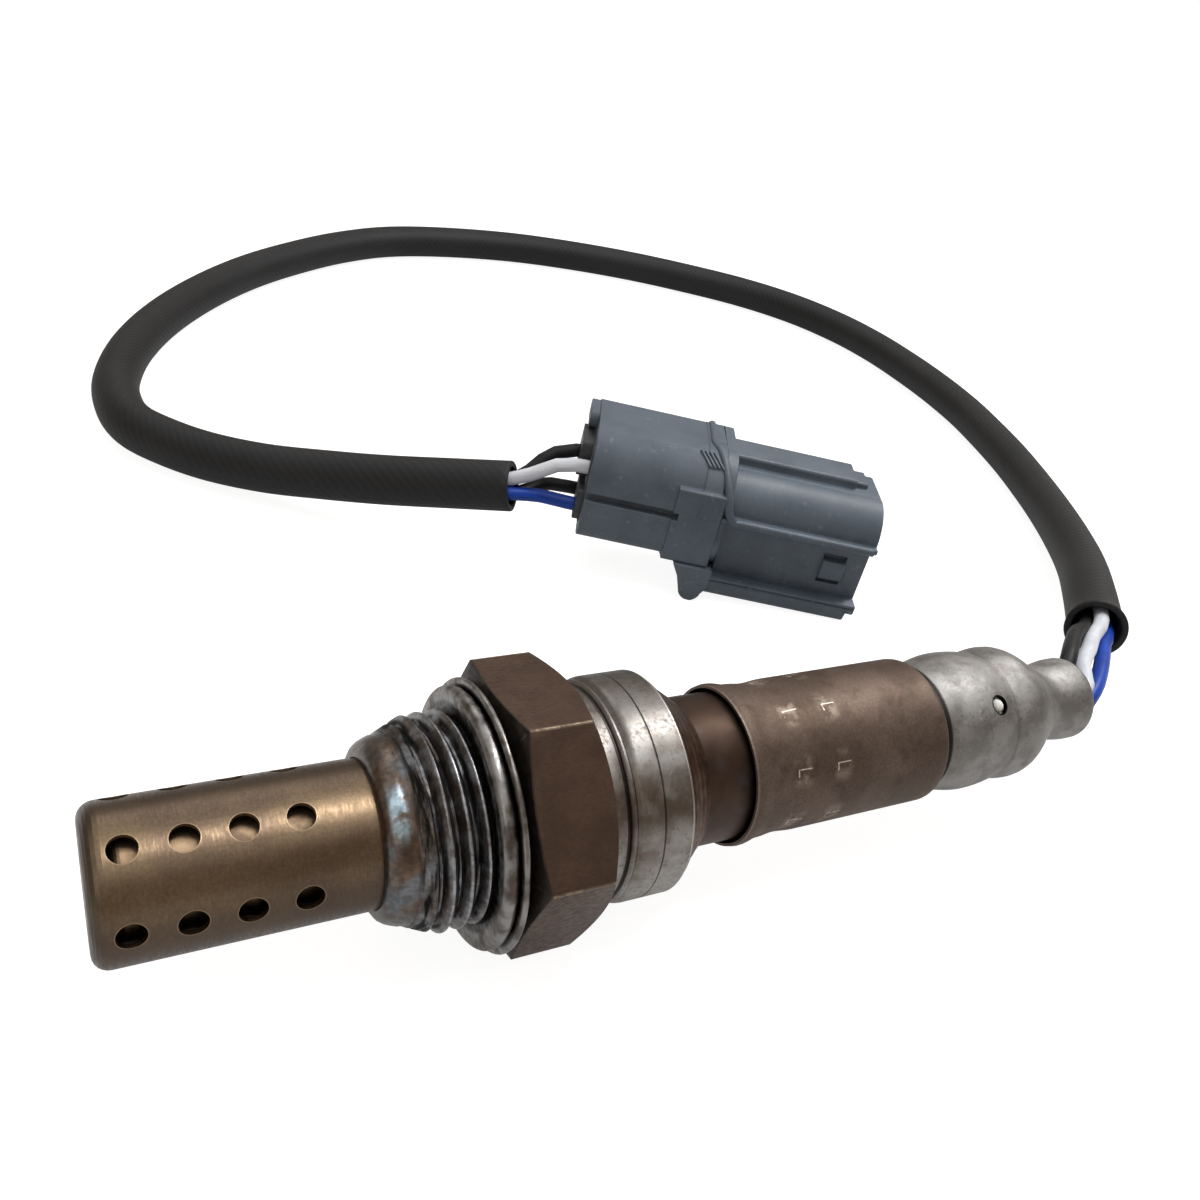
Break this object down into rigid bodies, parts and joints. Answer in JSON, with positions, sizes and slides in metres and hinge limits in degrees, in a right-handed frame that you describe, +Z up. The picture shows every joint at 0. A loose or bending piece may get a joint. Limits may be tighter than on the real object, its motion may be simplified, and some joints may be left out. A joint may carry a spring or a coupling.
{
  "type": "oxygen sensor",
  "caption": "Heated exhaust oxygen sensor: slotted-hole protector tube, hexagon shell with gasket, steel covers, sleeved wire harness and a moulded plug.",
  "frame": {"origin": "on the sensor's axis in the plane where its gasket seals against the exhaust boss", "axes": "+X along the sensor's axis from the protector towards the harness, +Z up from the table that the sensor lies on"},
  "size_m": [0.1776, 0.2109, 0.0238],
  "materials": {
    "protector_steel": "heat-tinted brown sheet steel",
    "inner_protector_steel": "dark heat-tinted sheet steel",
    "zirconia": "off-white sintered ceramic",
    "heater_ceramic": "pale grey ceramic",
    "shell_steel": "heat-darkened machined steel",
    "gasket_steel": "bright grey folded steel",
    "washer_steel": "soft steel",
    "talc": "pressed powder",
    "alumina": "white sintered ceramic",
    "collar_steel": "bright turned steel",
    "inner_cover_steel": "brown heat-tinted sheet steel",
    "outer_cover_steel": "taupe satin sheet steel",
    "cap_steel": "satin silver sheet steel with brown stains",
    "filter_cloth": "white water-shedding membrane",
    "grommet_rubber": "dark rubber",
    "holder_ceramic": "white steatite",
    "spring_steel": "spring steel",
    "contact_metal": "nickel strip",
    "crimp_brass": "tinned brass barrels",
    "black_insulation": "smooth black insulation",
    "white_insulation": "smooth white insulation",
    "blue_insulation": "smooth blue insulation",
    "sleeve_rubber": "matt black tubing, scuffed",
    "plug_plastic": "moulded blue-grey plastic",
    "retainer_plastic": "moulded dark plastic",
    "seal_rubber": "silicone rubber",
    "terminal_brass": "tinned brass blades"
  },
  "bodies": {
    "root": {"outer_protector": "protector_steel", "inner_protector": "inner_protector_steel", "sensing_thimble": "zirconia", "heater_rod": "heater_ceramic", "threaded_shell": "shell_steel", "seal_gasket": "gasket_steel", "seat_washer": "washer_steel", "talc_packing": "talc", "alumina_sleeve": "alumina", "crimp_washer": "washer_steel", "weld_collar": "collar_steel", "inner_cover": "inner_cover_steel", "outer_cover": "outer_cover_steel", "end_cap": "cap_steel", "vent_filter": "filter_cloth", "grommet": "grommet_rubber", "contact_holder": "holder_ceramic", "holder_spring": "spring_steel", "signal_contact": "contact_metal", "ground_contact": "contact_metal", "heater_contacts": "contact_metal", "wire_crimps": "crimp_brass", "wire_black_a": "black_insulation", "wire_white": "white_insulation", "wire_blue": "blue_insulation", "wire_black_b": "black_insulation", "harness_sleeve": "sleeve_rubber", "plug_housing": "plug_plastic", "plug_retainer": "retainer_plastic", "wire_seals": "seal_rubber", "plug_terminals": "terminal_brass"}
  },
  "joints": []
}
